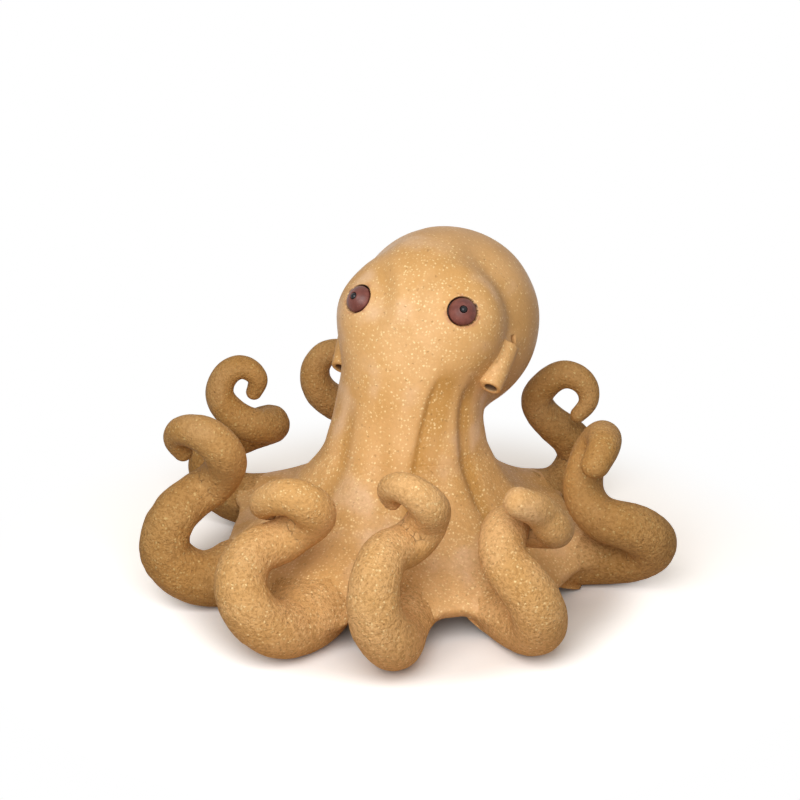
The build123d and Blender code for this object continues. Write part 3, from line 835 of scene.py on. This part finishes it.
class Finish:
    """A new material with one Principled shader, and the nodes that feed it."""

    def __init__(self, name, **constants):
        self.material = bpy.data.materials.new(name)
        self.material.use_nodes = True
        self.tree = self.material.node_tree
        self.shader = self.tree.nodes["Principled BSDF"]
        for key, v in constants.items():
            self.shader.inputs[key.replace("_", " ")].default_value = v
        self.place = self.node("ShaderNodeTexCoord").outputs["Object"]

    def node(self, kind, settings=None, **sockets):
        """A node with its settings; sockets go by name, or as i0, i1 and so on by number."""
        n = self.tree.nodes.new(kind)
        for key, v in (settings or {}).items():
            setattr(n, key, v)
        for key, v in sockets.items():
            slot = n.inputs[int(key[1:]) if key[1:].isdigit() else key.replace("_", " ")]
            source = v.socket if isinstance(v, Value) else v
            if isinstance(source, bpy.types.NodeSocket):
                self.tree.links.new(source, slot)
            else:
                slot.default_value = source
        return n

    def noise(self, size, detail=3.0, rough=0.5):
        """Noise from 0 to 1 whose features are about size millimetres across."""
        n = self.node("ShaderNodeTexNoise", Vector=self.place, Scale=1000.0 / size, Detail=detail,
                      Roughness=rough)
        return Value(self.tree, n.outputs[0])

    def grains(self, size):
        """Distance to the nearest grain in crooked cells of size mm, and two random numbers of it."""
        bent = self.node("ShaderNodeTexNoise", Vector=self.place, Scale=2200.0 / size, Detail=1.0)
        shift = self.node("ShaderNodeVectorMath", {"operation": "MULTIPLY_ADD"}, i0=bent.outputs["Color"],
                          i1=[0.0007 * size] * 3, i2=self.place)
        n = self.node("ShaderNodeTexVoronoi", Vector=shift.outputs[0], Scale=1000.0 / size)
        split = self.node("ShaderNodeSeparateColor", Color=n.outputs["Color"])
        found = n.outputs["Distance"], split.outputs[0], split.outputs[1]
        return [Value(self.tree, socket) for socket in found]

    def between(self, value, low, high):
        """0 below low, 1 above high, smooth between."""
        n = self.node("ShaderNodeMapRange", {"interpolation_type": "SMOOTHSTEP"}, Value=value,
                      From_Min=low, From_Max=high)
        return Value(self.tree, n.outputs[0])

    def carried(self, name):
        """A number written on the mesh's points."""
        return Value(self.tree, self.node("ShaderNodeAttribute", {"attribute_name": name}).outputs["Fac"])

    def mix(self, share, a, b, blend="MIX"):
        """Colour a, with a share of b mixed or multiplied in."""
        n = self.node("ShaderNodeMix", {"data_type": "RGBA", "blend_type": blend}, i0=share, i6=a, i7=b)
        return n.outputs[2]

    def feed(self, **sockets):
        """Links values to the inputs of the Principled shader."""
        for key, v in sockets.items():
            source = v.socket if isinstance(v, Value) else v
            self.tree.links.new(source, self.shader.inputs[key.replace("_", " ")])

    def relief(self, height, depth):
        """A Bump node: height 0..1 stands for depth millimetres."""
        n = self.node("ShaderNodeBump", Height=height, Distance=depth * 0.001, Strength=1.0)
        return n.outputs[0]


print("shader helpers ready")

# %% [markdown]
# ## Sandy clay
#
# The body is one clay throughout, an ochre earthenware full of golden grains. On the head and
# the web it was rubbed with a pebble, so it is satin there, with paler patches of painted sheen.
# On the arms it kept the skin of the palm: matt and stippled, with fine cracks inside the tight
# bends. Painted shade darkens the grooves, the dimples, the stipple's hollows, the inner side of
# the tight bends, the sockets, slits and bores, and the arms that the light reaches less. One
# recipe serves all, and the numbers carried by the mesh choose.

# %% Clay recipe
def clay():
    """From the clay up: clouds, rubbed patches with painted sheen, painted shade in grooves, dimples and the
    stipple's hollows, grains, pits, cracks with painted shade over the bends, painted shade on the far arms,
    red slip, and painted shade in sockets, slits and bores.
    """
    c = Finish("sandy_clay", Specular_IOR_Level=0.45)
    burnish, grain, crack, groove, stain, smear, fired = (c.carried(k) for k in FINISH)
    matt = 1 - burnish.below(1.0)
    cloud, drift = c.noise(14, 2), c.noise(4.5, 3)
    fine, stipple = c.noise(0.42, 3, 0.6), c.noise(0.62, 3, 0.7)
    clouds = c.between(cloud * 0.7 + drift * 0.3, 0.36, 0.64)
    ochre = c.mix(clouds, (0.66, 0.365, 0.122, 1), (0.76, 0.450, 0.188, 1))
    # Rubbed patches: painted sheen mixed in as a pale peach, with fewer grains and a lower roughness there.
    rubbed = c.between(c.noise(11, 1) * 0.8 + drift * 0.2, 0.52, 0.66) * burnish
    ochre = c.mix(rubbed * 0.75, ochre, (0.80, 0.535, 0.315, 1))
    # Painted shade deep in the grooves and dimples.
    ochre = c.mix(c.between(groove, 0.10, 0.50) * 0.72, ochre, (0.52, 0.262, 0.055, 1))
    # Painted shade in the stipple's hollows, stronger on the matt arms.
    ochre = c.mix((0.25 + matt) * c.between(stipple, 0.56, 0.38) * 0.5, ochre, (0.43, 0.215, 0.056, 1))
    d1, r1, g1 = c.grains(0.52)
    d2, r2, g2 = c.grains(1.0)
    speck = c.between(d1, 0.46, 0.20) * c.between(r1 + grain * 0.45, 0.80, 1.0) * (0.25 + 0.75 * g1)
    flake = c.between(d2, 0.27, 0.12) * c.between(r2 + grain * 0.5, 0.95, 1.05) * (0.4 + 0.6 * g2)
    gold = (speck * 0.85 + flake * 0.9).below(0.95) * (1 - rubbed * 0.6)
    ochre = c.mix(gold, ochre, (1.0, 0.78, 0.40, 1))
    d3, r3, _ = c.grains(0.8)
    pit = c.between(d3, 0.30, 0.12) * c.between(r3 + grain * 0.12, 0.84, 0.98)
    ochre = c.mix(pit * (0.22 + 0.33 * matt), ochre, (0.27, 0.125, 0.035, 1))
    split = c.node("ShaderNodeTexVoronoi", {"feature": "DISTANCE_TO_EDGE"}, Vector=c.place, Scale=620.0)
    cracks = c.between(Value(c.tree, split.outputs[0]), 0.07, 0.01) * crack
    # Dark crack lines, and painted shade over the whole inner side of a tight bend.
    ochre = c.mix((cracks * 0.55 + crack * 0.18).below(0.8), ochre, (0.17, 0.085, 0.03, 1))
    # Painted shade: the arms that the light reaches less are multiplied darker.
    ochre = c.mix(fired, ochre, (0.60, 0.54, 0.36, 1), "MULTIPLY")
    ochre = c.mix(smear * 0.55, ochre, (0.36, 0.115, 0.065, 1))
    # Painted shade, nearly black, inside the eye sockets, the siphons' bores and where the mantle is sunk in,
    # as at the gill slits.
    ochre = c.mix(stain, ochre, (0.05, 0.018, 0.012, 1))
    rough = 0.74 - 0.26 * burnish + 0.10 * drift - 0.07 * rubbed - 0.12 * speck
    height = 0.5 + (stipple - 0.5) * (0.14 + 2.3 * matt) + (fine - 0.5) * (0.16 + 0.8 * matt)
    height = height + speck * 0.12 - pit * 0.3 - cracks * 0.8
    c.feed(Base_Color=ochre, Roughness=rough, Normal=c.relief(height, 0.22))
    return c.material


sandy_clay = clay()
print("clay nodes", len(sandy_clay.node_tree.nodes))

# %% [markdown]
# ## Red clay and bead
#
# The eyes are a finer red clay, polished before firing. The bead is black and glossy.

# %% Eye and bead recipes
def red_clay():
    """Dark red, clouded, with a few paler grains."""
    c = Finish("red_clay", Specular_IOR_Level=0.4)
    cloud, fine = c.noise(1.6, 3), c.noise(0.22, 2)
    red = c.mix(c.between(cloud, 0.35, 0.7), (0.135, 0.036, 0.026, 1), (0.21, 0.066, 0.050, 1))
    d, r, _ = c.grains(0.35)
    red = c.mix(c.between(d, 0.3, 0.1) * c.between(r, 0.75, 0.9) * 0.5, red, (0.34, 0.15, 0.11, 1))
    c.feed(Base_Color=red, Roughness=0.34 + 0.16 * cloud, Normal=c.relief(fine * 0.5 + cloud * 0.5, 0.03))
    return c.material


def black_bead():
    """Nearly black and glossy, faintly clouded."""
    c = Finish("black_bead", Specular_IOR_Level=0.3)
    cloud = c.noise(0.5, 2)
    black = c.mix(cloud, (0.004, 0.004, 0.006, 1), (0.016, 0.015, 0.017, 1))
    c.feed(Base_Color=black, Roughness=0.04 + 0.06 * cloud, Normal=c.relief(c.noise(0.3, 1), 0.006))
    return c.material


eye_red, bead_black = red_clay(), black_bead()
for name, piece in made.items():
    piece.data.materials.append(eye_red if "_eye_" in name else bead_black if "_bead" in name else sandy_clay)
print("dressed", len(made), "pieces")

# %% [markdown]
# ## Table, light and camera
#
# The photograph is a plain studio picture: a white table that shades softly under the arms,
# with the main light close in front of the face, half way up and a little to its left. One
# broad panel gives that light, and warm, weak surroundings fill the shade. The table is whiter
# to the camera than to the light that bounces off it, and turns to plain white a little way
# out, so it reads as white while it still takes the shadow.

# %% Table
TABLE_GLOW, TABLE_HALF, TABLE_TOP = 0.42, 3, -0.0002


def seen_straight(tree):
    """1 for what the camera sees, also in a gloss or through glass, and 0 for other light."""
    path = tree.nodes.new("ShaderNodeLightPath")
    seen = Value(tree, path.outputs["Is Camera Ray"])
    for kind in ("Is Glossy Ray", "Is Transmission Ray"):
        seen = seen.above(Value(tree, path.outputs[kind]))
    return seen


def table():
    """A large square whose colours depend on the distance from the middle."""
    mesh = bpy.data.meshes.new("table_top")
    corners = [(x * TABLE_HALF, y * TABLE_HALF, TABLE_TOP) for x, y in ((-1, -1), (1, -1), (1, 1), (-1, 1))]
    mesh.from_pydata(corners, [], [(0, 1, 2, 3)])
    top = bpy.data.objects.new("table_top", mesh)
    bpy.context.scene.collection.objects.link(top)
    c = Finish("white_table", Roughness=0.9, Specular_IOR_Level=0.1)
    seen = seen_straight(c.tree)
    c.feed(Base_Color=c.mix(seen, (0.48, 0.35, 0.21, 1), (0.99, 0.985, 0.975, 1)))
    length = c.node("ShaderNodeVectorMath", {"operation": "LENGTH"}, i0=c.place)
    out = Value(c.tree, length.outputs["Value"])
    glow = c.node("ShaderNodeEmission", Color=(1, 0.995, 0.985, 1),
                  Strength=seen * c.between(out, 0.036, 0.047) * TABLE_GLOW)
    both = c.node("ShaderNodeAddShader", i0=c.shader.outputs[0], i1=glow.outputs[0])
    white = c.node("ShaderNodeEmission", Color=(1, 1, 1, 1), Strength=seen)
    far = c.node("ShaderNodeMixShader", i0=c.between(out, 0.052, 0.082), i1=both.outputs[0],
                 i2=white.outputs[0])
    c.tree.links.new(far.outputs[0], c.tree.nodes["Material Output"].inputs["Surface"])
    mesh.materials.append(c.material)


table()


# %% Light
def panel(name, place, aim, size, power, colour):
    """A square lamp that faces a point."""
    lamp = bpy.data.lights.new(name, "AREA")
    lamp.size, lamp.energy, lamp.color = size, power, colour
    holder = bpy.data.objects.new(name, lamp)
    bpy.context.scene.collection.objects.link(holder)
    holder.location = place
    holder.rotation_euler = (Vector(aim) - Vector(place)).to_track_quat("-Z", "Y").to_euler()


panel("main_panel", (0.035, -0.178, 0.166), (0, 0, 0.03), 0.20, 0.62, (0.985, 0.99, 1.0))
world = bpy.data.worlds.new("white_room")
bpy.context.scene.world = world
world.use_nodes = True
nodes, links = world.node_tree.nodes, world.node_tree.links
seen, room = seen_straight(world.node_tree), nodes["Background"]
tint = nodes.new("ShaderNodeMix")
tint.data_type = "RGBA"
tint.inputs[6].default_value, tint.inputs[7].default_value = (1, 0.77, 0.52, 1), (1, 1, 1, 1)
links.new(seen.socket, tint.inputs[0])
links.new(tint.outputs[2], room.inputs["Color"])
links.new((seen * 0.75 + 0.25).socket, room.inputs["Strength"])

# %% Camera
camera = bpy.data.objects.new("camera", bpy.data.cameras.new("camera"))
bpy.context.scene.collection.objects.link(camera)
camera.data.sensor_width, camera.data.lens = 36.0, 99.0
back, distance = Vector(direction(20, 22, 1)), 0.4
camera.location = Vector((-0.00233, 0.00502, 0.033)) + distance * back
camera.rotation_euler = (-back).to_track_quat("-Z", "Y").to_euler()
bpy.context.scene.camera = camera
bpy.context.scene.view_settings.view_transform = "Standard"
print("camera at", [round(v, 3) for v in camera.location])
